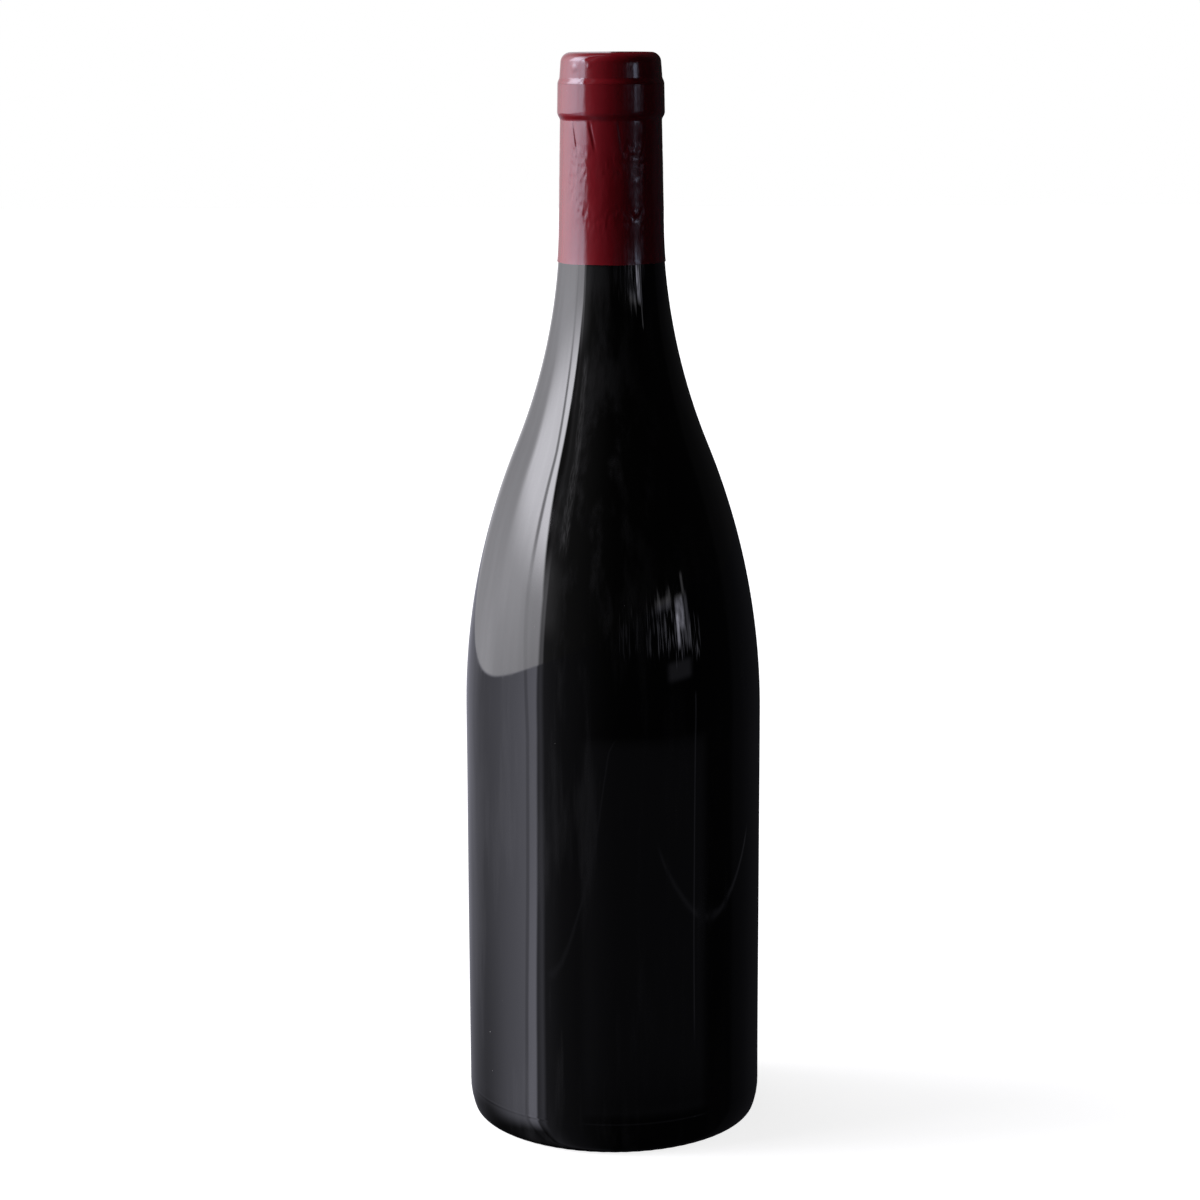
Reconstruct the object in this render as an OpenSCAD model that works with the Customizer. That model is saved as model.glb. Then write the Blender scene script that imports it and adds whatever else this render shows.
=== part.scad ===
// Wine bottle with sloping shoulders, closed by a crimped foil capsule.
// The glass is one closed solid that stands on a narrow ring around its punt.
// The origin is the middle of that ring's plane, and +Z points up the neck.

/* [Body] */
// Height of the glass, from the table to the top of the lip
bottle_h = 296; // [240:1:360]
// Diameter of the straight wall
body_d = 82; // [66:0.5:102]
// Height at which the straight wall ends and the shoulder starts
wall_h = 116; // [90:1:142]

/* [Shoulder and neck] */
// Distance from the top of the lip down to the end of the shoulder's sweep
neck_h = 46; // [36:1:60]
// Diameter of the neck just under the ring
neck_d = 27; // [22:0.1:33]
// Half angle at which the neck widens downwards
neck_taper = 1.06; // [0:0.02:2]
// Share of the sweep's radii that bulges, before it hollows into the neck
bulge_share = 0.545; // [0.35:0.005:0.65]

/* [Lip and ring] */
// Height of the plain lip above the ring
lip_h = 6.6; // [5:0.1:10]
// How far the lip's foot stands out from the neck under the ring
lip_out = 0.1; // [0:0.05:0.4]
// How far the lip draws in from its foot to its top
lip_lean = 0.5; // [0:0.05:1]
// Height of the ring's outer face
ring_h = 8.2; // [5:0.1:11]
// How far the ring's lower edge stands out from the neck
ring_out = 0.78; // [0.6:0.02:2]
// How far the ring draws in from its lower edge to its upper edge
ring_lean = 0.16; // [0:0.02:0.2]
// Height of the slope over the ring
ledge_h = 1.2; // [0.8:0.1:3]
// Height of the slope under the ring
undercut_h = 1.4; // [1:0.1:3]
// Radius of the lip's upper edge
lip_edge_r = 2.5; // [0.5:0.1:3]
// Radius of the ring's two edges
ring_edge_r = 2; // [0.4:0.1:2.4]
// Radius in the corners above and below the ring
ring_corner_r = 1.5; // [0.6:0.1:2]

/* [Heel] */
// Height at which the heel meets the straight wall
heel_h = 9.2; // [7:0.1:14]
// Radius of the heel's upper, slow curve
heel_r = 21; // [14:0.5:40]
// Radius of the heel's lower, quick curve
foot_r = 3.2; // [2:0.1:5]
// Width of the flat ring that the bottle stands on
rest_w = 2.4; // [1.5:0.1:6]

/* [Punt] */
// Height of the punt's steep wall
punt_wall_h = 15; // [8:0.5:22]
// Height of the dome that closes the punt over its wall
punt_dome_h = 8; // [3:0.5:12]
// How far the punt's wall leans in over that height
punt_lean = 8; // [4:0.5:12]
// Radius of the rolled edge between the punt and the standing ring
punt_edge_r = 2; // [1:0.1:4]
// Radius of the bend between the punt's wall and its dome
punt_bend_r = 10; // [4:0.5:12]
// Diameter of the flat crown at the top of the punt
punt_crown_d = 12; // [6:0.5:16]
// Radius of the crown's edge
punt_crown_r = 12; // [4:0.5:16]

/* [Capsule] */
// Length of the foil capsule, from the top of the lip to its hem
capsule_h = 55.5; // [40:0.5:76]
// Thickness of the foil
foil_t = 0.2; // [0.1:0.05:0.4]

/* [Hidden] */
// Longest chord along a curve of the outline
chord = 3;
// Fewest chords in one rounded corner
corner_steps = 6;
// Points nearer than this are the same point
same_point = 0.001;
$fn = 128;

body_r = body_d / 2;
neck_r = neck_d / 2;

// The ring's levels, from its upper edge down to the neck
ledge_z = bottle_h - lip_h;
ring_top_z = ledge_z - ledge_h;
ring_low_z = ring_top_z - ring_h;
neck_top_z = ring_low_z - undercut_h;

// The heel's two curves meet where the outline leans by heel_tilt, and neither has a
// straight stretch, so its two corners follow from the radii
heel_tilt = asin((heel_h - foot_r) / (heel_r - foot_r));
rest_out_r = body_r - heel_r + (heel_r - foot_r) * cos(heel_tilt);
foot_corner = [rest_out_r + foot_r * tan((90 - heel_tilt) / 2), 0];
heel_corner = [body_r, heel_h - heel_r * tan(heel_tilt / 2)];

// The punt's mouth, inside the flat ring and the rolled edge
punt_h = punt_wall_h + punt_dome_h;
punt_slope = atan2(punt_wall_h, punt_lean);
punt_mouth_r = rest_out_r - rest_w - punt_edge_r * tan(punt_slope / 2);

// The shoulder's sweep: a bulging arc tangent to the wall, then a hollow arc tangent to
// the neck. Their radii share one sum, found from both ends and both directions.
wall_top = [body_r, wall_h];
neck_foot_z = bottle_h - neck_h;
neck_foot = [neck_r + (neck_top_z - neck_foot_z) * tan(neck_taper), neck_foot_z];
sweep_span = neck_foot - wall_top;
sweep_lean = bulge_share * [1, 0] + (1 - bulge_share) * [cos(neck_taper), sin(neck_taper)];
sweep_slack = 1 - sweep_lean * sweep_lean;
sweep_reach = -(sweep_span * sweep_lean);
sweep_r = sweep_span * sweep_span
    / (sweep_reach + sqrt(sweep_reach ^ 2 + sweep_slack * (sweep_span * sweep_span)));
bulge_r = bulge_share * sweep_r;
hollow_r = sweep_r - bulge_r;
bulge_centre = wall_top - [bulge_r, 0];
hollow_centre = neck_foot + hollow_r * [cos(neck_taper), sin(neck_taper)];
sweep_tilt = atan2(hollow_centre.y - bulge_centre.y, hollow_centre.x - bulge_centre.x);
bulge_corner = wall_top + [0, bulge_r * tan(sweep_tilt / 2)];
hollow_corner = neck_foot
    + hollow_r * tan((sweep_tilt - neck_taper) / 2) * [sin(neck_taper), -cos(neck_taper)];

// Corners of the underside, from the axis to the wall: radius, height, corner radius
FOOT = [
    [0, punt_h, 0],
    [punt_crown_d / 2, punt_h, punt_crown_r],
    [punt_mouth_r - punt_lean, punt_wall_h, punt_bend_r],
    [punt_mouth_r, 0, punt_edge_r],
    [foot_corner.x, foot_corner.y, foot_r],
    [heel_corner.x, heel_corner.y, heel_r],
];

// Corners of everything above, from the wall to the axis
TOP = [
    [bulge_corner.x, bulge_corner.y, bulge_r],
    [hollow_corner.x, hollow_corner.y, hollow_r],
    [neck_r, neck_top_z, ring_corner_r],
    [neck_r + ring_out, ring_low_z, ring_edge_r],
    [neck_r + ring_out - ring_lean, ring_top_z, ring_edge_r],
    [neck_r + lip_out, ledge_z, ring_corner_r],
    [neck_r + lip_out - lip_lean, bottle_h, lip_edge_r],
    [0, bottle_h, 0],
];

function xy(v) = [v.x, v.y];
function unit(v) = v / norm(v);
function cross2(a, b) = a.x * b.y - a.y * b.x;
// To the right of a direction of travel, which is out of the glass on a way up the wall
function right_of(d) = [d.y, -d.x];
function turned(v, a) = [v.x * cos(a) - v.y * sin(a), v.x * sin(a) + v.y * cos(a)];

// Points of the arc that rounds corner b on the way from a to c
function corner_arc(a, b, c) =
    let (
        way_in = unit(xy(b) - xy(a)),
        way_out = unit(xy(c) - xy(b)),
        turn = atan2(cross2(way_in, way_out), way_in * way_out),
        start = xy(b) - way_in * b.z * tan(abs(turn) / 2),
        to_start = right_of(way_in) * b.z * sign(turn),
        steps = max(corner_steps, ceil(b.z * abs(turn) * PI / 180 / chord))
    )
    [for (i = [0:steps]) start - to_start + turned(to_start, turn * i / steps)];

// A list of corners as points, with its first and last corner left sharp
function rounded(v) = concat(
    [xy(v[0])],
    [for (i = [1:len(v) - 2]) each corner_arc(v[i - 1], v[i], v[i + 1])],
    [xy(v[len(v) - 1])]
);

// Corner b moved out by t, square to the lines on both sides of it, with the radius
// that keeps its arc parallel
function moved_corner(a, b, c, t) =
    let (
        way_in = unit(xy(b) - xy(a)),
        way_out = unit(xy(c) - xy(b)),
        turn = atan2(cross2(way_in, way_out), way_in * way_out),
        mitre = unit(right_of(way_in) + right_of(way_out)),
        place = xy(b) + mitre * t / cos(turn / 2)
    )
    [place.x, place.y, b.z + t * sign(turn)];

// The same corners moved out by t, with the last one kept on the axis
function parallel(v, t) =
    let (last = len(v) - 1)
    concat(
        [[v[0].x + t, v[0].y, 0]],
        [for (i = [1:last - 1]) moved_corner(v[i - 1], v[i], v[i + 1], t)],
        [[0, v[last].y + t, 0]]
    );

function without_repeats(p) =
    [for (i = [0:len(p) - 1]) if (i == 0 || norm(p[i] - p[i - 1]) > same_point) p[i]];

// The stretch of an outline above height z, with a point at z itself
function above(p, z) =
    let (
        low = max([for (i = [0:len(p) - 2]) if (p[i].y <= z && p[i + 1].y > z) i]),
        share = (z - p[low].y) / (p[low + 1].y - p[low].y)
    )
    concat(
        [p[low] + share * (p[low + 1] - p[low])],
        [for (i = [low + 1:len(p) - 1]) p[i]]
    );

function reversed(p) = [for (i = [len(p) - 1:-1:0]) p[i]];

// The wall joins both lists of corners at the point where the shoulder starts
bottle_outline = without_repeats(rounded(concat(FOOT, TOP)));
foil_outline = without_repeats(rounded(parallel(concat([[body_r, heel_h, 0]], TOP), foil_t)));
hem_z = bottle_h - capsule_h;

// Glass, closed: the sealed neck and the dark wall show nothing of the inside
module bottle() {
    color([0.03, 0.035, 0.03])
        rotate_extrude()
            polygon(bottle_outline);
}

// Foil drawn over the lip and crimped down the neck
module capsule() {
    color([0.4, 0.05, 0.08])
        rotate_extrude()
            polygon(concat(above(foil_outline, hem_z), reversed(above(bottle_outline, hem_z))));
}

bottle();
capsule();
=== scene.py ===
"""A wine bottle of dark glass, shut with a crimped foil capsule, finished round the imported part.

Lengths are in millimetres until a mesh is made, which is in metres. An angle round the
bottle is 0 at the front, towards -Y, and grows towards +X.
"""

import math
from collections import namedtuple

import bpy
import numpy as np
from mathutils import Matrix, Vector, noise


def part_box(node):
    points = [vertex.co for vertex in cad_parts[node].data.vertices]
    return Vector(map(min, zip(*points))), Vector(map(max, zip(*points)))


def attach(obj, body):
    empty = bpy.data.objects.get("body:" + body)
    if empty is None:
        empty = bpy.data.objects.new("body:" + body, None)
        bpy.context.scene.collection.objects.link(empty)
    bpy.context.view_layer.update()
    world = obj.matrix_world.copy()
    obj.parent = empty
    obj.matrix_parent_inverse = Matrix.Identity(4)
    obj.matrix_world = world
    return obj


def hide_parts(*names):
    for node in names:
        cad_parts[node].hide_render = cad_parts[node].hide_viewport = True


MM = 0.001

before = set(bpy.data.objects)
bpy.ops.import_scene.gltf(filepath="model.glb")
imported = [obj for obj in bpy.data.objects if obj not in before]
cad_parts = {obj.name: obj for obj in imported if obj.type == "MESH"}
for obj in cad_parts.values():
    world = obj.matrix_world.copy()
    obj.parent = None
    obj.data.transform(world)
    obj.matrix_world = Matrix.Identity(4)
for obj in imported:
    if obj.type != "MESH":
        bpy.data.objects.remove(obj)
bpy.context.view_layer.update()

glass_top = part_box("bottle")[1].z / MM
foil_low, foil_high = (corner.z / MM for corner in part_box("capsule"))
foil_t = foil_high - glass_top

# ---------------------------------------------------------------- outlines

ON_TABLE = 0.001    # points lower than this are on the standing ring
SAME_POINT = 0.05   # outline points nearer than this are one point
STRAIGHT = 0.2      # degrees: a bend under this is no bend
SHARP_ANGLE = math.radians(50)  # a mesh edge that bends more than this shows as an edge
LONG_STEP = 3.0     # a longer straight stretch is divided
LOW_SHARE = 0.25    # the share of the height that holds the whole punt


def bend_at(before, here, after):
    """Degrees that an outline turns at a point."""
    first, second = here - before, after - here
    return math.degrees(math.atan2(first[0] * second[1] - first[1] * second[0], first @ second))


def glass_outline():
    """The bottle's outline as radius and height, from the punt's top round the foot to the lip."""
    places = np.array([v.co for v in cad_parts["bottle"].data.vertices]) / MM
    points = np.column_stack([np.hypot(places[:, 0], places[:, 1]), places[:, 2]])
    points = np.unique(np.round(points, 3), axis=0)
    rest_r = points[points[:, 1] < ON_TABLE][:, 0].min()
    in_punt = (points[:, 0] < rest_r + SAME_POINT) & (points[:, 1] < LOW_SHARE * glass_top)
    punt, outside = points[in_punt], points[~in_punt]
    punt = punt[np.lexsort((-punt[:, 1], punt[:, 0]))]
    outside = outside[np.lexsort((-outside[:, 0], outside[:, 1]))]
    ordered = np.vstack([(0, punt[0, 1]), punt, outside, (0, outside[-1, 1])])
    apart = [ordered[0]]
    for point in ordered[1:]:
        if np.hypot(*(point - apart[-1])) > SAME_POINT:
            apart.append(point)
    bent = [
        here for before, here, after in zip(apart, apart[1:], apart[2:])
        if abs(bend_at(before, here, after)) > STRAIGHT
    ]
    return np.array([apart[0], *bent, apart[-1]])


def divided(points):
    """The same outline with points along its straight stretches."""
    out = [points[0]]
    for start, end in zip(points, points[1:]):
        parts = max(1, math.ceil(np.hypot(*(end - start)) / LONG_STEP))
        out.extend(start + (end - start) * k / parts for k in range(1, parts + 1))
    return np.array(out)


def smoothed(points, rounds=3):
    """The outline through the same points, with the curve between them filled in."""
    across_axis = np.array([-1.0, 1.0])
    for _ in range(rounds):
        longer = np.vstack([points[1] * across_axis, points, points[-2] * across_axis])
        middles = (9 * (longer[1:-2] + longer[2:-1]) - longer[:-3] - longer[3:]) / 16
        woven = np.empty((2 * len(points) - 1, 2))
        woven[0::2], woven[1::2] = points, middles
        points = woven
    return points


def spaced(points, step, turn, least=0.1):
    """Points picked along a fine outline, one after each step in length or turn in degrees."""
    kept, gone, turned = [0], 0.0, 0.0
    for i in range(1, len(points) - 1):
        gone += np.hypot(*(points[i] - points[i - 1]))
        turned += abs(bend_at(points[i - 1], points[i], points[i + 1]))
        if gone > step or (turned > turn and gone > least):
            kept.append(i)
            gone, turned = 0.0, 0.0
    return points[kept + [len(points) - 1]]


def outward(points):
    """Unit normals along an outline that runs up the outside."""
    ahead = np.gradient(points, axis=0)
    normals = np.column_stack([ahead[:, 1], -ahead[:, 0]])
    return normals / np.hypot(normals[:, 0], normals[:, 1])[:, None]


def with_rings_near(points, height, offsets):
    """The outline with points of its own at these offsets from a height up its outside."""
    foot = int(np.argmin(points[:, 1] + (points[:, 0] < points[:, 0].max() / 2) * glass_top))
    outside = points[foot:]
    heights = np.union1d(np.round(outside[:, 1], 4), np.round([height + o for o in offsets], 4))
    radii = np.interp(heights, outside[:, 1], outside[:, 0])
    return np.vstack([points[:foot], np.column_stack([radii, heights])])


fine_outline = smoothed(divided(glass_outline()))
fine_outline[:, 1] = fine_outline[:, 1].clip(0, glass_top)
body_r = fine_outline[:, 0].max()
near_top = fine_outline[:, 1] > (foil_low + glass_top) / 2
ring_low = fine_outline[np.argmax(fine_outline[:, 0] * near_top), 1]
outside_i = np.flatnonzero((fine_outline[:, 1] > foil_low) & (fine_outline[:, 1] < ring_low))
neck_top = fine_outline[outside_i[np.argmin(fine_outline[outside_i, 0])], 1]

# ---------------------------------------------------------------- turned shells


def ease(value, start, end):
    """0 before start, 1 after end and a smooth rise between, for numbers or arrays."""
    share = np.clip((value - start) / (end - start), 0, 1)
    return share * share * (3 - 2 * share)


def hump(value, width):
    """1 at nothing, fading to none a few widths away."""
    return np.exp(-((value / width) ** 2))


def wrapped(angle):
    """The same angle between minus and plus half a turn."""
    return (angle + math.pi) % (2 * math.pi) - math.pi


def waves(angle, height, seed, count, around, pitch):
    """A slow uneven swell of several waves that close round the bottle, about -1 to 1."""
    dice = np.random.default_rng(seed)
    total = 0.0
    for _ in range(count):
        turns = dice.integers(*around)
        rise = 2 * math.pi / dice.uniform(*pitch) * dice.choice([-1, 1])
        total = total + np.cos(turns * angle + rise * height + dice.uniform(0, 2 * math.pi))
    return total / count


def columns(sides, crowded=(), offsets=()):
    """Angles of a shell's columns: evenly round, with more beside each crowded angle."""
    even = np.arange(sides) * 2 * math.pi / sides - math.pi
    extra = [wrapped(at + offset) for at in crowded for offset in offsets]
    return np.unique(np.round(np.concatenate([even, extra]), 6))


def turned(name, outline, angles, shape):
    """A closed shell turned round the axis. The outline starts and ends on the axis, and shape
    gives each point's push along the outline's normal and its lift, both in millimetres."""
    rings = outline[1:-1]
    normals = outward(outline)[1:-1]
    angle, radius = np.meshgrid(angles, rings[:, 0])
    height = np.repeat(rings[:, 1:], len(angles), axis=1)
    push, lift = shape(angle, radius, height)
    radius = radius + push * normals[:, :1]
    height = height + push * normals[:, 1:] + lift
    places = np.stack([radius * np.sin(angle), -radius * np.cos(angle), height], axis=-1)
    ends = [(0, 0, outline[0, 1]), (0, 0, outline[-1, 1])]
    points = np.vstack([places.reshape(-1, 3), ends]) * MM
    across, up = len(angles), len(rings)
    start, end = across * up, across * up + 1
    faces = []
    for j in range(across):
        k = (j + 1) % across
        faces.append((start, k, j))
        faces.extend(
            (i + j, i + k, i + across + k, i + across + j)
            for i in range(0, across * (up - 1), across)
        )
        faces.append((start - across + j, start - across + k, end))
    mesh = bpy.data.meshes.new(name)
    mesh.from_pydata(points.tolist(), [], faces)
    mesh.validate()
    mesh.shade_smooth()
    mesh.set_sharp_from_angle(angle=SHARP_ANGLE)
    piece = bpy.data.objects.new(name, mesh)
    bpy.context.scene.collection.objects.link(piece)
    return piece


# ---------------------------------------------------------------- the glass

GLASS_SIDES = 288
KNURLS = 72             # fine notches round the standing ring
KNURL_DEEP = 0.08
KNURL_HIGH = 0.5        # the notches fade out over this height
KNURL_SHARES = (0.8, 0.84)  # shares of the body's radius over which the notches come in
FOOT_EASE = (2, 12)     # heights between which the wall starts to flow
FLOW = 0.13             # how much the blown wall swells and sinks
NECK_FLOW = 0.3         # share of the flow that is left as the radius shrinks to none
SEAM_PROUD = 0.05       # height of the two mould seams
SEAM_ANGLES = (-math.pi / 2, math.pi / 2)
SEAM_WIDE = math.radians(0.45)
SEAM_OFFSETS = [math.radians(d) for d in (-1, -0.6, -0.3, 0, 0.3, 0.6, 1)]
PLATE_SEAM = 9.0        # height of the line where the mould's base plate meets its halves
PLATE_WIDE = 0.3
PLATE_SHARE = 0.6       # its height as a share of a seam's
WALL_SHARE = 0.9        # beyond this share of the body's radius a point is on the wall
SEAM_STOPS_R = 5        # the seams stop this near to the axis
PLATE_OFFSETS = (-0.7, -0.4, -0.2, 0, 0.2, 0.4, 0.7)
GLASS_STEP = 2.4
GLASS_TURN = 6


def glass_shape(angle, radius, height):
    """Flow of the glass, the mould's seams, and the knurled ring that the bottle stands on."""
    out = radius / body_r
    standing = hump(height, KNURL_HIGH) * ease(out, *KNURL_SHARES)
    above_foot = ease(height, *FOOT_EASE)
    swell = waves(angle, height, seed=4, count=7, around=(2, 8), pitch=(38, 150))
    flow = FLOW * (swell - 1) / 2 * above_foot * (NECK_FLOW + (1 - NECK_FLOW) * out)
    seam = sum(hump(wrapped(angle - at), SEAM_WIDE) for at in SEAM_ANGLES)
    on_wall = ease(height, PLATE_SEAM, PLATE_SEAM + 1) * (radius > SEAM_STOPS_R)
    plate = hump(height - PLATE_SEAM, PLATE_WIDE) * (out > WALL_SHARE)
    push = flow + (seam * on_wall + PLATE_SHARE * plate - 1) * SEAM_PROUD * above_foot
    lift = KNURL_DEEP * standing * (0.5 - 0.5 * np.cos(KNURLS * angle))
    return push, lift


def make_glass():
    """The bottle as one turned shell, with more points beside its seams."""
    outline = spaced(fine_outline, GLASS_STEP, GLASS_TURN)
    outline = with_rings_near(outline, PLATE_SEAM, PLATE_OFFSETS)
    angles = columns(GLASS_SIDES, SEAM_ANGLES, SEAM_OFFSETS)
    return turned("bottle_glass", outline, angles, glass_shape)


# ---------------------------------------------------------------- the foil capsule

FOIL_SIDES = 480
FOIL_STEP = 0.48
FOIL_TURN = 7
INNER_STEP = 5.0
INNER_TURN = 20

# A crease crimped into the foil under the ring. It starts at an angle round the neck, leans
# on its way down, and has one sharp, raised side.
Crease = namedtuple("Crease", "angle lean below length deep")
CREASE_WIDE = 0.34
BOLD_CREASES = (
    Crease(angle=-48, lean=5.5, below=1.6, length=6.2, deep=0.11),
    Crease(angle=-26, lean=6, below=1.4, length=6.2, deep=0.12),
)
CREASE_COUNT = 15
GROOVE_PAST = 1.6       # the groove behind a crease lies this many widths past it
CREASE_STARTS = (-0.35, 0.1)    # shares of its length over which a crease comes in
CREASE_ENDS = (1.15, 0.7)       # and goes out
PLEAT_REACH = 4.2       # how far back from a crease its foil starts to climb
CRUMPLE = 0.1           # depth of the fine wrinkles
CRUMPLE_LEAST = 0.12    # share of it that is left outside the crumpled stretch
CRUMPLE_OVER_HEM = (5, 13)
CRUMPLE_UNDER_RING = (5, 8)
GATHER_PITCH = 0.16     # the noise that gathers the wrinkles in patches, a millimetre
GATHER_LIFT = 0.15
GATHER_GAIN = 2.2
GATHER_LEAST = 0.3
FINE_PITCH = 0.7        # the fine wrinkles, wider than they are high by this much
FINER_PITCH = 1.5
FINER_SHARE = 0.6
SQUAT = 1.7
SLOW_ACROSS = 0.3       # the slow swell under them, higher than it is wide
SLOW_UP = 0.1
SLOW_SHARE = 0.8
HEM_WAVE = 0.16         # how uneven the cut hem is
HEM_WAVE_REACH = 2.5
HEM_FLARE = 0.05
HEM_FLARE_REACH = 0.6
HEM_STRAIGHT = (8, 9)   # depths under the top over which the hem's wave sets in
DISC_GROOVE_R = 9.6     # circle pressed into the top
DISC_GROOVE_WIDE = 0.35
DISC_GROOVE_DEEP = 0.1
DISC_SUNK = 0.05
DISC_SUNK_R = 8
TOP_SKIN = 0.2          # points this near to the top are on the disc

# A small knock or bubble in the foil, proud of it or sunk into it
Knock = namedtuple("Knock", "angle down across along proud")
KNOCKS = (
    Knock(angle=-46, down=4.1, across=1.15, along=0.85, proud=0.16),
    Knock(angle=-25, down=3.4, across=0.6, along=0.5, proud=0.07),
    Knock(angle=-34, down=36.0, across=1.3, along=0.35, proud=0.07),
    Knock(angle=30, down=43.0, across=0.8, along=0.8, proud=-0.06),
    Knock(angle=27, down=27.0, across=1.2, along=0.6, proud=-0.06),
    Knock(angle=118, down=31.0, across=1.6, along=0.9, proud=-0.08),
    Knock(angle=166, down=4.6, across=0.9, along=0.7, proud=0.12),
    Knock(angle=-140, down=48.0, across=1.5, along=0.5, proud=0.06),
)


def creases():
    """The crimps under the ring, in order round the neck: two bold ones and the rest fainter."""
    dice = np.random.default_rng(11)
    pitch = 360 / CREASE_COUNT
    out = list(BOLD_CREASES)
    for k in range(CREASE_COUNT):
        angle = k * pitch + dice.uniform(-0.25, 0.25) * pitch - 180
        made = Crease(
            angle,
            lean=dice.uniform(2, 7),
            below=dice.uniform(0.6, 1.6),
            length=dice.uniform(3, 9),
            deep=dice.uniform(0.015, 0.06),
        )
        if all(abs(angle - bold.angle) > pitch / 2 for bold in BOLD_CREASES):
            out.append(made)
    return sorted(out)


def crimping(angle, radius, height):
    """Push of the pleats under the ring: the foil climbs to each one and drops past it."""
    total = np.zeros_like(angle)
    below = neck_top - height
    for crease in creases():
        share = (below - crease.below) / crease.length
        middle = math.radians(crease.angle) + math.radians(crease.lean) * share
        aside = wrapped(angle - middle) * radius
        pleat = ease(aside, -PLEAT_REACH, 0) * ease(aside, CREASE_WIDE, 0)
        behind = hump(aside - GROOVE_PAST * CREASE_WIDE, CREASE_WIDE)
        faded = ease(share, *CREASE_STARTS) * ease(share, *CREASE_ENDS)
        total += crease.deep * (pleat - behind) * faded
    return total


def crumpling(angle, radius, height):
    """Push of the fine wrinkles, which gather in patches down the neck."""
    out = np.zeros_like(angle)
    places = np.stack([radius * np.sin(angle), -radius * np.cos(angle), height], axis=-1)
    for index in np.ndindex(angle.shape):
        place = Vector(places[index])
        squat = Vector((place.x, place.y, place.z * SQUAT))
        tall = Vector((place.x * SLOW_ACROSS, place.y * SLOW_ACROSS, place.z * SLOW_UP))
        fine = noise.noise(squat * FINE_PITCH) + FINER_SHARE * noise.noise(squat * FINER_PITCH)
        gathered = GATHER_GAIN * (noise.noise(place * GATHER_PITCH) + GATHER_LIFT)
        slow = SLOW_SHARE * noise.noise(tall)
        out[index] = fine * min(1, max(GATHER_LEAST, gathered)) + slow
    over_hem = height - foil_low
    under_ring = neck_top - height
    on_neck = ease(over_hem, *CRUMPLE_OVER_HEM) * ease(under_ring, *CRUMPLE_UNDER_RING)
    return CRUMPLE * out * (CRUMPLE_LEAST + (1 - CRUMPLE_LEAST) * on_neck)


def capsule_outline():
    """From the axis down the foil's inner face, round its cut hem and up its outer face."""
    neck = fine_outline[np.argmax(fine_outline[:, 0]):]
    hem_r = np.interp(foil_low, neck[:, 1], neck[:, 0])
    neck = np.vstack([(hem_r, foil_low), neck[neck[:, 1] > foil_low + SAME_POINT]])
    inner = spaced(neck, INNER_STEP, INNER_TURN)[::-1]
    outer = spaced(neck + foil_t * outward(neck), FOIL_STEP, FOIL_TURN)
    outer[0, 1] = foil_low
    outer[-1] = (0, foil_high)
    return inner, outer


def make_capsule():
    """The capsule as one turned shell. Only its outer face is creased."""
    inner, outer = capsule_outline()
    on_outside = np.concatenate([np.zeros(len(inner)), np.ones(len(outer))])[1:-1, None]

    def shape(angle, radius, height):
        down = foil_high - height
        hem_waves = 0.5 + 0.5 * waves(angle, 0, seed=8, count=5, around=(1, 9), pitch=(10, 20))
        near_hem = hump(height - foil_low, HEM_WAVE_REACH)
        lift = HEM_WAVE * hem_waves * near_hem * ease(glass_top - height, *HEM_STRAIGHT)
        push = crimping(angle, radius, height) + crumpling(angle, radius, height)
        for knock in KNOCKS:
            aside = wrapped(angle - math.radians(knock.angle)) * radius / knock.across
            below = (down - knock.down) / knock.along
            push += knock.proud * np.exp(-(aside**2 + below**2) ** 1.5)
        on_top = ease(height, glass_top - TOP_SKIN, glass_top)
        groove = DISC_GROOVE_DEEP * hump(radius - DISC_GROOVE_R, DISC_GROOVE_WIDE)
        groove += DISC_SUNK * ease(radius, DISC_GROOVE_R, DISC_SUNK_R)
        push = push * (1 - on_top) - groove * on_top
        push += HEM_FLARE * hump(height - foil_low, HEM_FLARE_REACH)
        return push * on_outside, lift

    outline = np.vstack([inner, outer])
    return turned("foil_capsule", outline, columns(FOIL_SIDES), shape)


# ---------------------------------------------------------------- wiring of node trees


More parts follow.
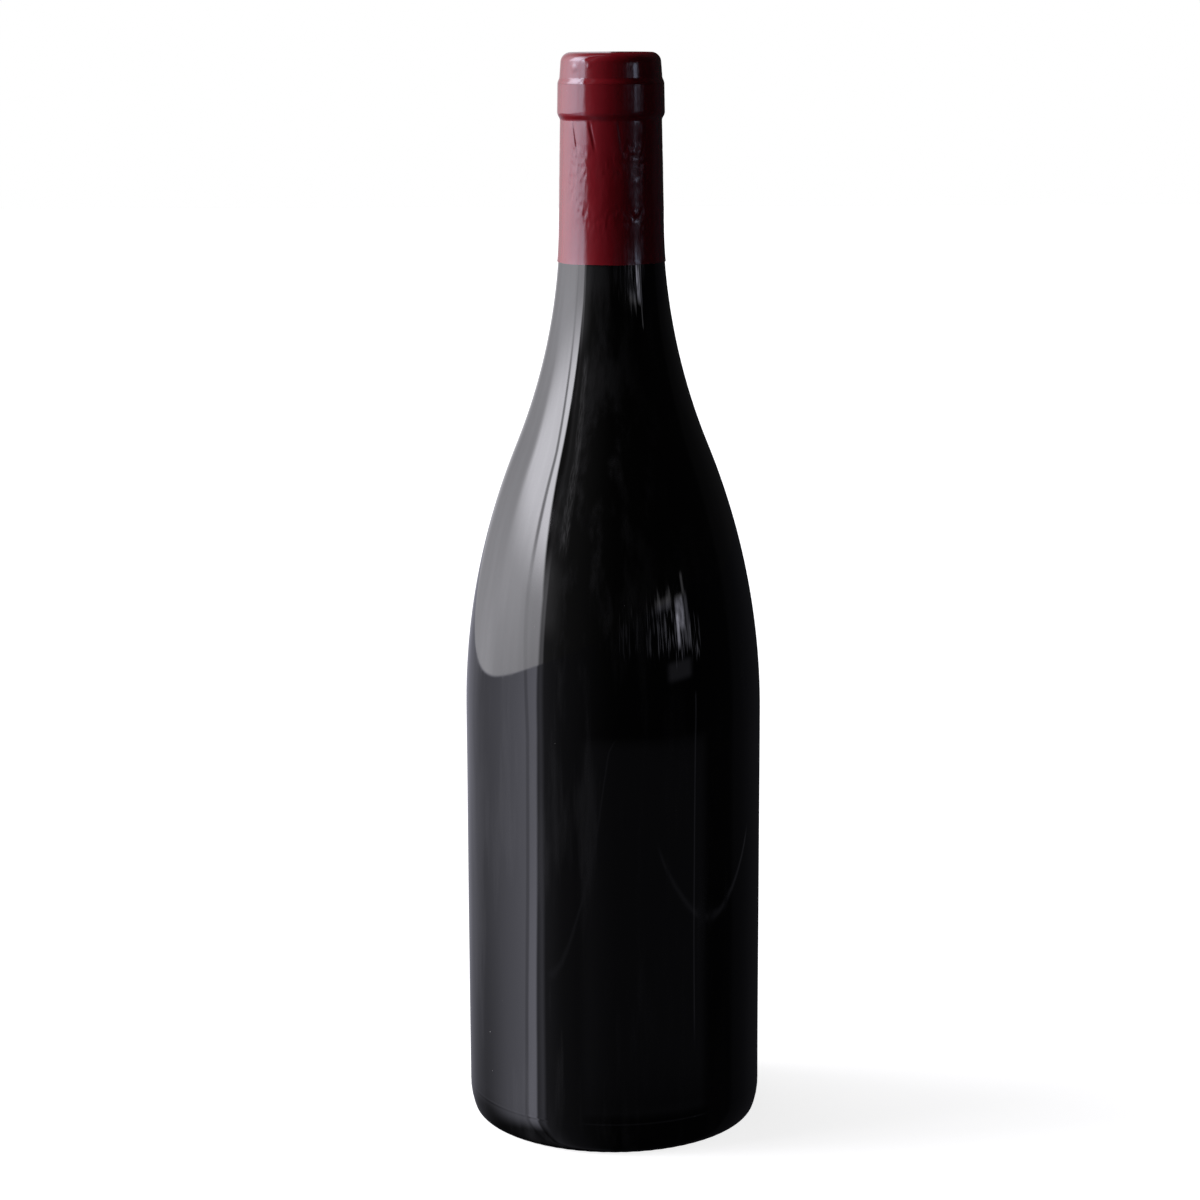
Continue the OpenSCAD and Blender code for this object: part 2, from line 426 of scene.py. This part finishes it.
class Wiring:
    """Short names for the nodes of one tree, so that a formula reads as one."""

    def __init__(self, tree):
        self.tree = tree

    def node(self, kind, **settings):
        made = self.tree.nodes.new(kind)
        for name, value in settings.items():
            setattr(made, name, value)
        return made

    def feed(self, socket, value):
        if isinstance(value, bpy.types.NodeSocket):
            self.tree.links.new(value, socket)
        else:
            socket.default_value = value

    def math(self, operation, *values):
        made = self.node("ShaderNodeMath", operation=operation)
        for socket, value in zip(made.inputs, values):
            self.feed(socket, value)
        return made.outputs[0]

    def plus(self, *values):
        total = values[0]
        for value in values[1:]:
            total = self.math("ADD", total, value)
        return total

    def times(self, *values):
        total = values[0]
        for value in values[1:]:
            total = self.math("MULTIPLY", total, value)
        return total

    def minus(self, first, second):
        return self.math("SUBTRACT", first, second)

    def ease(self, value, start, end, low=0.0, high=1.0):
        """low before start, high after end and a smooth change between."""
        made = self.node("ShaderNodeMapRange", interpolation_type="SMOOTHSTEP")
        for socket, given in zip(made.inputs, (value, start, end, low, high)):
            self.feed(socket, given)
        return made.outputs[0]

    def band(self, value, start, end, soft):
        """1 between start and end, with soft edges."""
        rise = self.ease(value, start - soft, start + soft)
        return self.times(rise, self.ease(value, end + soft, end - soft))

    def noise(self, place, scale, detail=2.0, rough=0.5):
        made = self.node("ShaderNodeTexNoise")
        self.feed(made.inputs["Vector"], place)
        made.inputs["Scale"].default_value = scale
        made.inputs["Detail"].default_value = detail
        made.inputs["Roughness"].default_value = rough
        return made.outputs["Fac"]

    def vector(self, *values):
        made = self.node("ShaderNodeCombineXYZ")
        for socket, value in zip(made.inputs, values):
            self.feed(socket, value)
        return made.outputs[0]

    def mixed(self, share, first, second):
        """A colour between two, at a share."""
        made = self.node("ShaderNodeMix", data_type="RGBA")
        self.feed(made.inputs["Factor"], share)
        self.feed(made.inputs["A"], first)
        self.feed(made.inputs["B"], second)
        return made.outputs["Result"]

    def object_place(self):
        """The three parts of a point's place on the piece, in metres."""
        parts = self.node("ShaderNodeSeparateXYZ")
        self.feed(parts.inputs[0], self.node("ShaderNodeTexCoord").outputs["Object"])
        return parts.outputs

    def use(self, tree, **values):
        """Places a shared effect with its own values and gives its one output."""
        made = self.node("ShaderNodeGroup", node_tree=tree)
        for label, value in values.items():
            self.feed(made.inputs[label.capitalize()], value)
        return made.outputs[0]

    def bump(self, height, strength=1.0):
        """A normal from a height in millimetres."""
        made = self.node("ShaderNodeBump")
        made.inputs["Distance"].default_value = MM
        made.inputs["Strength"].default_value = strength
        self.feed(made.inputs["Height"], height)
        return made.outputs[0]


# ---------------------------------------------------------------- shared surface effects

SMALLEST_SPECK = 0.4    # the smallest speck of dust, as a share of the given size
SPECK_CORE = 0.6        # the share of a speck that is whole before its soft edge
SMEAR_PATCHES = 22.0    # patches a metre that the smears gather in
SMEAR_LEAST = 0.75      # the noise level where smears start, before the cover lowers it
SMEAR_SOFT = 0.25


def effect_group(name, inputs, outputs):
    """An empty node group with float inputs, given with their defaults, and its wiring."""
    tree = bpy.data.node_groups.new(name, "ShaderNodeTree")
    for label, value in inputs.items():
        tree.interface.new_socket(label, in_out="INPUT", socket_type="NodeSocketFloat")
        tree.interface.items_tree[-1].default_value = value
    for label in outputs:
        tree.interface.new_socket(label, in_out="OUTPUT", socket_type="NodeSocketFloat")
    wiring = Wiring(tree)
    return wiring, wiring.node("NodeGroupInput").outputs, wiring.node("NodeGroupOutput").inputs


def dust_group():
    """Specks of dust: a mask that is 1 on each speck. Sizes are in millimetres."""
    w, given, result = effect_group(
        "dust specks", {"Spacing": 5.0, "Size": 0.25, "Share": 0.3}, ["Mask"]
    )
    place = w.node("ShaderNodeTexCoord").outputs["Object"]
    cells = w.node("ShaderNodeTexVoronoi")
    w.feed(cells.inputs["Vector"], place)
    w.feed(cells.inputs["Scale"], w.math("DIVIDE", 1 / MM, given["Spacing"]))
    draw = w.node("ShaderNodeSeparateColor")
    w.feed(draw.inputs[0], cells.outputs["Color"])
    away = w.times(cells.outputs["Distance"], given["Spacing"])
    size = w.times(given["Size"], w.plus(SMALLEST_SPECK, draw.outputs[1]))
    speck = w.ease(w.math("DIVIDE", away, size), 1.0, SPECK_CORE)
    chosen = w.math("LESS_THAN", draw.outputs[0], given["Share"])
    w.feed(result["Mask"], w.times(speck, chosen))
    return w.tree


def smear_group():
    """Soft marks left by a hand or a cloth, drawn out up and down the surface."""
    w, given, result = effect_group(
        "smears", {"Across": 6.0, "Along": 40.0, "Cover": 0.4}, ["Mask"]
    )
    x, y, z = w.object_place()
    wide = w.math("DIVIDE", 1 / MM, given["Across"])
    tall = w.math("DIVIDE", 1 / MM, given["Along"])
    place = w.vector(w.times(x, wide), w.times(y, wide), w.times(z, tall))
    drawn = w.noise(place, 1.0, detail=4.0, rough=0.6)
    patch = w.noise(w.vector(x, y, z), SMEAR_PATCHES, detail=1.0)
    least = w.minus(SMEAR_LEAST, w.times(given["Cover"], patch))
    w.feed(result["Mask"], w.ease(drawn, least, w.plus(least, SMEAR_SOFT)))
    return w.tree


def relief_group():
    """Fine unevenness of a surface as a height in millimetres."""
    w, given, result = effect_group(
        "fine relief", {"Size": 2.0, "Depth": 0.002, "Drawn": 1.0}, ["Height"]
    )
    x, y, z = w.object_place()
    wide = w.math("DIVIDE", 1 / MM, given["Size"])
    tall = w.math("DIVIDE", wide, given["Drawn"])
    place = w.vector(w.times(x, wide), w.times(y, wide), w.times(z, tall))
    w.feed(result["Height"], w.times(w.noise(place, 1.0, detail=3.0), given["Depth"]))
    return w.tree


DUST = dust_group()
SMEARS = smear_group()
RELIEF = relief_group()


def surface(name):
    """A new material with its wiring and its one shader."""
    material = bpy.data.materials.new(name)
    material.use_nodes = True
    wiring = Wiring(material.node_tree)
    return material, wiring, material.node_tree.nodes["Principled BSDF"]


GLASS_DEEP = (0.0008, 0.0010, 0.0007, 1)
GLASS_WARM = (0.0020, 0.0017, 0.0015, 1)
HAND_FILM = (0.20, 0.20, 0.21, 1)
GLASS_DUST = (0.45, 0.44, 0.42, 1)
GLASS_CLOUD = 30.0      # clouds a metre, where the glass looks a little deeper or warmer
GLASS_ROUGH = 0.018
GLASS_IOR = 1.5
FILM_SHARE = 0.05       # how much of the hand's film shows in a smear
FILM_ROUGH = 0.05
FINE_SPECK_SHARE = 0.7  # a fine speck's strength beside a bigger one's
DUST_SHARE = 0.5        # how much of the surface's colour a speck covers
DUST_ROUGH = 0.4

LACQUER_DEEP = (0.168, 0.0043, 0.0082, 1)
LACQUER_BRIGHT = (0.212, 0.0066, 0.0120, 1)
LACQUER_RUBBED = (0.245, 0.016, 0.023, 1)
FOIL_DUST = (0.5, 0.42, 0.40, 1)
LACQUER_CLOUD = 160.0   # clouds a metre in the lacquer
RUBBED_SHARE = 0.25     # how far a smear turns the lacquer towards its rubbed colour
RUBBED_ROUGH = 0.10
FOIL_ROUGH = 0.11
FOIL_DUST_ROUGH = 0.3
FOIL_IOR = 1.566
FOIL_GLOSS_TINT = (0.76, 0.87, 1.0, 1.0)


def dark_glass():
    """Glass so dark a green, over red wine, that it reads as black; smooth, a little handled."""
    material, w, shader = surface("dark_glass")
    specks = w.use(DUST, spacing=7.0, size=0.16, share=0.22)
    fine_specks = w.use(DUST, spacing=3.1, size=0.09, share=0.12)
    smears = w.use(SMEARS, across=5.0, along=60.0, cover=0.55)
    dust = w.math("MINIMUM", w.plus(specks, w.times(fine_specks, FINE_SPECK_SHARE)), 1.0)
    cloud = w.noise(w.node("ShaderNodeTexCoord").outputs["Object"], GLASS_CLOUD)
    glass = w.mixed(cloud, GLASS_DEEP, GLASS_WARM)
    film = w.mixed(w.times(smears, FILM_SHARE), glass, HAND_FILM)
    w.feed(shader.inputs["Base Color"], w.mixed(w.times(dust, DUST_SHARE), film, GLASS_DUST))
    rough = w.plus(GLASS_ROUGH, w.times(smears, FILM_ROUGH), w.times(dust, DUST_ROUGH))
    w.feed(shader.inputs["Roughness"], rough)
    relief = w.use(RELIEF, size=9.0, depth=0.008, drawn=3.0)
    w.feed(shader.inputs["Normal"], w.bump(relief))
    shader.inputs["IOR"].default_value = GLASS_IOR
    return material


def red_foil():
    """Dark red lacquer over thin foil, with a clear gloss."""
    material, w, shader = surface("red_foil")
    place = w.node("ShaderNodeTexCoord").outputs["Object"]
    cloud = w.noise(place, LACQUER_CLOUD, detail=3.0)
    smears = w.use(SMEARS, across=2.0, along=14.0, cover=0.5)
    dust = w.use(DUST, spacing=3.0, size=0.12, share=0.14)
    lacquer = w.mixed(cloud, LACQUER_DEEP, LACQUER_BRIGHT)
    rubbed = w.mixed(w.times(smears, RUBBED_SHARE), lacquer, LACQUER_RUBBED)
    w.feed(shader.inputs["Base Color"], w.mixed(w.times(dust, DUST_SHARE), rubbed, FOIL_DUST))
    rough = w.plus(FOIL_ROUGH, w.times(smears, RUBBED_ROUGH), w.times(dust, FOIL_DUST_ROUGH))
    w.feed(shader.inputs["Roughness"], rough)
    relief = w.plus(
        w.use(RELIEF, size=0.7, depth=0.006, drawn=1.6),
        w.use(RELIEF, size=3.0, depth=0.012, drawn=2.0),
    )
    w.feed(shader.inputs["Normal"], w.bump(relief))
    shader.inputs["Specular Tint"].default_value = FOIL_GLOSS_TINT
    shader.inputs["IOR"].default_value = FOIL_IOR
    return material


# ---------------------------------------------------------------- the light

# The light is a plain function of direction, in degrees: azimuth round the bottle as above,
# and elevation up from level. A strength of 1 is plain white.

# A smooth change of a value: low before start and high after end
Change = namedtuple("Change", "start end low high", defaults=(0.0, 1.0))

# A soft-edged patch of light: its sides, its lower and upper edge, and how soft they are
Patch = namedtuple("Patch", "left right side_soft low high edge_soft light")

# The big window on the left, over its sill
WINDOW_FACING = -133.0                          # the direction square to the window
SILL_DROP = 8.4                                 # the sill's depth under level, straight ahead
SILL_SOFT = 0.22
ACROSS_WINDOW = Change(-158.0, -78.0, 0.75, 4.85)
NEAR_SKY = Change(-116.0, -106.0)               # the near part has the brighter sky
SKY_PER_DEGREE = 0.02
HIGH_SKY = Change(6.0, 19.0, 0.0, 0.95)
BAR_LEAN = Change(-13.0, 9.0, -69.8, -76.0)     # the bar's azimuth over its height
BAR_SIDES = (0.5, 3.2)
BAR_DARK = Change(8.0, 18.0, 0.84, 0.3)
PANE_SIDE = Change(0.0, 3.0)                    # the narrow pane past the bar
PANE_LIGHT = Change(4.0, 18.0, -0.08, 0.12)
WINDOW_EDGE = -60.3
WINDOW_EDGE_SOFT = 1.5
EDGE_LEANS_OVER = 8.0
EDGE_LEAN = 0.42
REVEAL_SIDE = Change(-55.4, -57.2)              # the lit wall beside the window's edge
REVEAL_LIGHT = Change(8.0, 17.0, 1.15, 0.08)
WINDOW_TOP = Change(30.0, 60.0, 1.0, 0.1)
VIEW_GRAIN = (0.16, 0.05)                       # faint shapes outside the window
VIEW_LIGHT = Change(0.3, 0.7, 0.97, 1.03)
LEFT_OF_ROOM = Change(-50.0, -53.0)

# The dimmer wall under the sill
WALL_FROM = -128.0
WALL_SPAN = 62.0
WALL_DIM = 0.46
WALL_BRIGHT = 1.8
WALL_CURVE = 1.5
FOOT_TURN = Change(-13.0, -21.0, 0.0, -3.8)     # the bar's foot turns in towards the floor
FOOT_DARK = Change(0.6, 2.4, 0.68, 1.0)
STRIP_SIDE = Change(1.0, 3.0)
STRIP_LIGHT = Change(-14.0, -19.0, 0.0, 0.28)
WALL_EDGE_AT = Change(-12.0, -21.0, -61.2, -63.8)
WALL_EDGE = Change(-1.4, 1.2, 1.0, 0.18)
WALL_END = Change(-58.5, -54.5, 1.0, 0.0)
WALL_LOW = Change(-125.0, -90.0, 0.25, 0.85)
WALL_LOW_AT = (-26.0, -12.0)
WALL_FOOT = Change(-39.0, -20.0, 0.05, 1.0)

# The dim room
BESIDE = Change(-60.0, -38.0, 0.48, 0.0)        # the glow beside the window
BESIDE_SIDE = Change(-62.0, -57.0)
BESIDE_LOW = Change(1.0, 6.0, 0.25, 1.0)
BESIDE_HIGH = Change(11.0, 17.0, 1.0, 0.25)
LEFT_WALL = Change(-50.0, 5.0, 0.09, 0.0)
LEFT_WALL_SIDE = Change(-64.0, -58.0)
SHEER_SIDES = (-50.5, -42.5, 2.0)               # a sheer curtain high beside the window
SHEER_OVER = Change(15.0, 20.0)
SHEER_GRAIN = (0.9, 0.5, 4.0)
SHEER_LIGHT = Change(0.4, 0.7, 0.1, 0.75)
FLOOR_GLOW = Patch(-24.0, 76.0, 6.0, -21.0, -13.4, 1.0, light=0.045)
RIGHT_WALL = Change(103.0, 110.0, 0.012, 0.026)
BACK_WALL = Change(130.0, 175.0, 1.0, 0.5)

# Three pale cords in the dim room: one hangs between two points, one slants, one is upright
HANGING_MIDDLE = 79.0
HANGING_HALF = 43.0
HANGING_SAG = 1.3
HANGING_LOW = -17.3
HANGING_THICK = (-0.05, 0.05, 0.05)
HANGING_SPAN = (36.0, 128.0, 3.0)
HANGING_LIGHT = 0.08
SLANT_FOOT = -50.0
SLANT_CLIMB = 0.0019
SLANT_LOW = -18.4
SLANT_THICK = (-0.07, 0.07, 0.06)
SLANT_SPAN = (-52.0, 2.0, 3.0)
SLANT_LIGHT = 0.08
UPRIGHT = Patch(65.8, 66.8, 0.4, -19.5, -7.0, 0.6, light=0.14)

# A small window far off on the right: what fills it whole, and what only its blinds' strips fill
STRIP_GRAIN = (0.62, 0.14)
STRIPS = Change(0.5, 0.62)
STRIP_STEP = 0.5
STRIP_UNEVEN = 9.0
BLINDS = Patch(27.0, 50.5, 1.5, 1.0, 9.5, 1.2, light=1.0)
BLINDS_LIGHT = Change(27.0, 46.0, 0.3, 0.9)
STRIPED = (
    Patch(51.0, 73.0, 1.5, -1.2, 4.6, 0.8, light=0.8),
    Patch(3.0, 25.0, 1.0, 1.6, 8.0, 0.8, light=0.12),
)
WHOLE = (
    Patch(36.0, 50.0, 2.0, 7.6, 9.2, 0.6, light=0.4),
    Patch(53.0, 55.2, 0.6, 1.0, 6.0, 1.0, light=3.4),
    Patch(62.0, 64.6, 0.8, 0.2, 8.2, 0.8, light=0.6),
    Patch(61.0, 63.0, 0.6, 8.4, 11.6, 0.5, light=0.6),
    Patch(44.0, 63.0, 3.0, -4.2, -1.4, 0.7, light=0.17),
)
CORE = Patch(53.4, 60.6, 1.0, 3.6, 8.2, 0.9, light=1.0)
CORE_GRAIN = 0.6
CORE_LIGHT = Change(0.3, 0.7, 1.1, 3.2)

WINDOW_TINT = (0.945, 0.935, 1.0, 1)
ROOM_TINT = (0.85, 0.85, 1.0, 1)


def window_light(w, azimuth, elevation):
    """The big window: dim at its far side, bright at its near side and its top, with one bar."""
    rise = w.plus(w.times(elevation, SKY_PER_DEGREE), w.ease(elevation, *HIGH_SKY))
    sky = w.plus(1.0, w.times(w.ease(azimuth, *NEAR_SKY), rise))
    past_bar = w.minus(azimuth, w.ease(elevation, *BAR_LEAN))
    bar_dark = w.ease(elevation, *BAR_DARK)
    bar = w.ease(w.math("ABSOLUTE", past_bar), *BAR_SIDES, bar_dark, 1.0)
    last_pane = w.times(w.ease(past_bar, *PANE_SIDE), w.ease(elevation, *PANE_LIGHT))
    over = w.math("MAXIMUM", w.minus(elevation, EDGE_LEANS_OVER), 0.0)
    off_edge = w.plus(azimuth, -WINDOW_EDGE, w.times(over, EDGE_LEAN))
    past_edge = w.ease(off_edge, -WINDOW_EDGE_SOFT, WINDOW_EDGE_SOFT)
    reveal = w.times(w.ease(azimuth, *REVEAL_SIDE), w.ease(elevation, *REVEAL_LIGHT))
    lit = w.times(w.ease(azimuth, *ACROSS_WINDOW), sky, bar, w.plus(1.0, last_pane))
    lit = w.times(lit, w.minus(1.0, past_edge))
    view_across, view_up = VIEW_GRAIN
    view = w.vector(w.times(azimuth, view_across), w.times(elevation, view_up), 0.0)
    outside = w.ease(w.noise(view, 1.0, 3.0), *VIEW_LIGHT)
    top = w.ease(elevation, *WINDOW_TOP)
    return w.times(w.plus(lit, w.times(reveal, past_edge)), top, outside)


def wall_light(w, azimuth, elevation):
    """The dimmer wall under the window, with the bar's foot and a bright strip beside it."""
    share = w.times(w.minus(azimuth, WALL_FROM), 1 / WALL_SPAN)
    curved = w.math("POWER", w.math("MAXIMUM", share, 0.0), WALL_CURVE)
    across = w.plus(WALL_DIM, w.times(curved, WALL_BRIGHT))
    foot_at = w.plus(w.ease(elevation, *BAR_LEAN), w.ease(elevation, *FOOT_TURN))
    past_foot = w.minus(azimuth, foot_at)
    foot = w.ease(w.math("ABSOLUTE", past_foot), *FOOT_DARK)
    strip = w.times(w.ease(past_foot, *STRIP_SIDE), w.ease(elevation, *STRIP_LIGHT))
    edge = w.ease(w.minus(azimuth, w.ease(elevation, *WALL_EDGE_AT)), *WALL_EDGE)
    end = w.ease(azimuth, *WALL_END)
    low = w.ease(elevation, *WALL_LOW_AT, w.ease(azimuth, *WALL_LOW), 1.0)
    lowest = w.ease(elevation, *WALL_FOOT)
    return w.times(across, foot, w.plus(1.0, strip), edge, end, low, lowest)


def patch_light(w, azimuth, elevation, patch):
    """One soft-edged patch of light."""
    across = w.band(azimuth, patch.left, patch.right, patch.side_soft)
    upward = w.band(elevation, patch.low, patch.high, patch.edge_soft)
    return w.times(across, upward, patch.light)


def room_light(w, azimuth, elevation):
    """The dim room: a glow beside the window, all but black on the right, faint behind."""
    height = w.times(w.ease(elevation, *BESIDE_LOW), w.ease(elevation, *BESIDE_HIGH))
    beside = w.times(w.ease(azimuth, *BESIDE), height, w.ease(azimuth, *BESIDE_SIDE))
    left = w.times(w.ease(azimuth, *LEFT_WALL), w.ease(azimuth, *LEFT_WALL_SIDE))
    grain_across, grain_up, grain_apart = SHEER_GRAIN
    place = w.vector(w.times(azimuth, grain_across), w.times(elevation, grain_up), grain_apart)
    sheer = w.times(w.band(azimuth, *SHEER_SIDES), w.ease(elevation, *SHEER_OVER))
    sheer = w.times(sheer, w.ease(w.noise(place, 1.0, 3.0), *SHEER_LIGHT))
    low_glow = patch_light(w, azimuth, elevation, FLOOR_GLOW)
    right = w.times(w.ease(azimuth, *RIGHT_WALL), w.ease(azimuth, *BACK_WALL))
    return w.plus(beside, left, sheer, low_glow, right, cords_light(w, azimuth, elevation))


def cords_light(w, azimuth, elevation):
    """Three pale cords in the dim room, no more than faint lines in the glass."""
    across = w.times(w.minus(azimuth, HANGING_MIDDLE), 1 / HANGING_HALF)
    over_cord = w.minus(elevation, w.plus(w.times(across, across, HANGING_SAG), HANGING_LOW))
    hanging = w.times(w.band(over_cord, *HANGING_THICK), w.band(azimuth, *HANGING_SPAN))
    along = w.minus(azimuth, SLANT_FOOT)
    over_cord = w.minus(elevation, w.plus(w.times(along, along, SLANT_CLIMB), SLANT_LOW))
    slanting = w.times(w.band(over_cord, *SLANT_THICK), w.band(azimuth, *SLANT_SPAN))
    upright = patch_light(w, azimuth, elevation, UPRIGHT)
    return w.plus(w.times(hanging, HANGING_LIGHT), w.times(slanting, SLANT_LIGHT), upright)


def far_window_light(w, azimuth, elevation):
    """The small window far off: the strips of its blinds, its bright core, posts and ground."""
    across, up = STRIP_GRAIN
    place = w.vector(w.times(azimuth, across), w.times(elevation, up), 0.0)
    strips = w.ease(w.noise(place, 1.0, 2.0), *STRIPS)
    step = w.minus(w.noise(w.vector(azimuth, 0.0, 2.0), STRIP_STEP, 1.0), 0.5)
    uneven = w.plus(elevation, w.times(step, STRIP_UNEVEN))
    blinds = w.times(patch_light(w, azimuth, uneven, BLINDS), w.ease(azimuth, *BLINDS_LIGHT))
    striped = [patch_light(w, azimuth, uneven, patch) for patch in STRIPED]
    whole = [patch_light(w, azimuth, elevation, patch) for patch in WHOLE]
    glow = w.ease(w.noise(w.vector(azimuth, elevation, 0.0), CORE_GRAIN), *CORE_LIGHT)
    core = w.times(patch_light(w, azimuth, elevation, CORE), glow)
    return w.plus(w.times(strips, w.plus(blinds, *striped)), core, *whole)


def room_around(w, azimuth, elevation):
    """How bright the room is in each direction, and the tint of its light."""
    ahead = w.math("COSINE", w.math("RADIANS", w.minus(azimuth, WINDOW_FACING)))
    sill_at = w.times(ahead, -SILL_DROP)
    above = w.ease(w.minus(elevation, sill_at), -SILL_SOFT, SILL_SOFT)
    window = w.times(window_light(w, azimuth, elevation), above)
    wall = w.times(wall_light(w, azimuth, elevation), w.minus(1.0, above))
    on_left = w.times(w.plus(window, wall), w.ease(azimuth, *LEFT_OF_ROOM))
    room = room_light(w, azimuth, elevation)
    strength = w.plus(on_left, room, far_window_light(w, azimuth, elevation))
    return strength, w.mixed(above, ROOM_TINT, WINDOW_TINT)


def studio_light():
    """Soft light from every side as the world gives it; the camera itself sees plain white."""
    world = bpy.data.worlds.new("studio")
    bpy.context.scene.world = world
    world.use_nodes = True
    w = Wiring(world.node_tree)
    toward = w.node("ShaderNodeSeparateXYZ")
    w.feed(toward.inputs[0], w.node("ShaderNodeTexCoord").outputs["Generated"])
    x, y, z = toward.outputs
    azimuth = w.math("DEGREES", w.math("ARCTAN2", x, w.times(y, -1.0)))
    elevation = w.math("DEGREES", w.math("ARCSINE", z))
    strength, tint = room_around(w, azimuth, elevation)
    glow = world.node_tree.nodes["Background"]
    w.feed(glow.inputs["Color"], tint)
    w.feed(glow.inputs["Strength"], strength)
    white = w.node("ShaderNodeBackground")
    white.inputs["Color"].default_value = (1, 1, 1, 1)
    pick = w.node("ShaderNodeMixShader")
    w.feed(pick.inputs[0], w.node("ShaderNodeLightPath").outputs["Is Camera Ray"])
    w.feed(pick.inputs[1], glow.outputs[0])
    w.feed(pick.inputs[2], white.outputs[0])
    w.feed(world.node_tree.nodes["World Output"].inputs[0], pick.outputs[0])


# ---------------------------------------------------------------- the floor and the camera

FLOOR_R = 4.0
FLOOR_GREY = (0.5, 0.5, 0.5, 1)
FLOOR_SHINE = 0.84      # the floor's own light, which keeps it near white
CAMERA_BACK = 0.803
CAMERA_UP = 0.306
CAMERA_PITCH = 11.2
CAMERA_YAW = 0.25
CAMERA_ROLL = -0.245
LENS = 88.7
SENSOR = 36.0


def pale_floor():
    """A plain pale floor that shows a soft shadow, and nothing from below."""
    material = bpy.data.materials.new("pale_floor")
    material.use_nodes = True
    w = Wiring(material.node_tree)
    material.node_tree.nodes.remove(material.node_tree.nodes["Principled BSDF"])
    paper = w.node("ShaderNodeBsdfDiffuse")
    paper.inputs["Color"].default_value = FLOOR_GREY
    shine = w.node("ShaderNodeEmission")
    shine.inputs["Strength"].default_value = FLOOR_SHINE
    both = w.node("ShaderNodeAddShader")
    w.feed(both.inputs[0], paper.outputs[0])
    w.feed(both.inputs[1], shine.outputs[0])
    sided = w.node("ShaderNodeMixShader")
    w.feed(sided.inputs[0], w.node("ShaderNodeNewGeometry").outputs["Backfacing"])
    w.feed(sided.inputs[1], both.outputs[0])
    w.feed(sided.inputs[2], w.node("ShaderNodeBsdfTransparent").outputs[0])
    w.feed(material.node_tree.nodes["Material Output"].inputs[0], sided.outputs[0])
    corners = [(sx * FLOOR_R, sy * FLOOR_R, 0) for sx, sy in ((-1, -1), (1, -1), (1, 1), (-1, 1))]
    mesh = bpy.data.meshes.new("floor")
    mesh.from_pydata(corners, [], [(0, 1, 2, 3)])
    mesh.materials.append(material)
    floor = bpy.data.objects.new("floor", mesh)
    bpy.context.scene.collection.objects.link(floor)
    floor.visible_diffuse = False
    floor.visible_glossy = False


def camera():
    """Looks slightly down on the bottle from the front."""
    data = bpy.data.cameras.new("camera")
    data.lens = LENS
    data.sensor_width = SENSOR
    viewer = bpy.data.objects.new("camera", data)
    bpy.context.scene.collection.objects.link(viewer)
    aim = Matrix.Rotation(math.radians(CAMERA_YAW), 4, "Z")
    aim = aim @ Matrix.Rotation(math.radians(90 - CAMERA_PITCH), 4, "X")
    aim = aim @ Matrix.Rotation(math.radians(CAMERA_ROLL), 4, "Z")
    viewer.matrix_world = Matrix.Translation((0, -CAMERA_BACK, CAMERA_UP)) @ aim
    bpy.context.scene.camera = viewer


# ---------------------------------------------------------------- everything together

bpy.context.scene.view_settings.view_transform = "Standard"
studio_light()
pale_floor()
camera()

bottle = make_glass()
bottle.data.materials.append(dark_glass())
capsule = make_capsule()
capsule.data.materials.append(red_foil())
for piece, node, slot in (
    (bottle, "bottle", "dark_glass"),
    (capsule, "capsule", "capsule_foil"),
):
    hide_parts(node)
    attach(piece, "root")
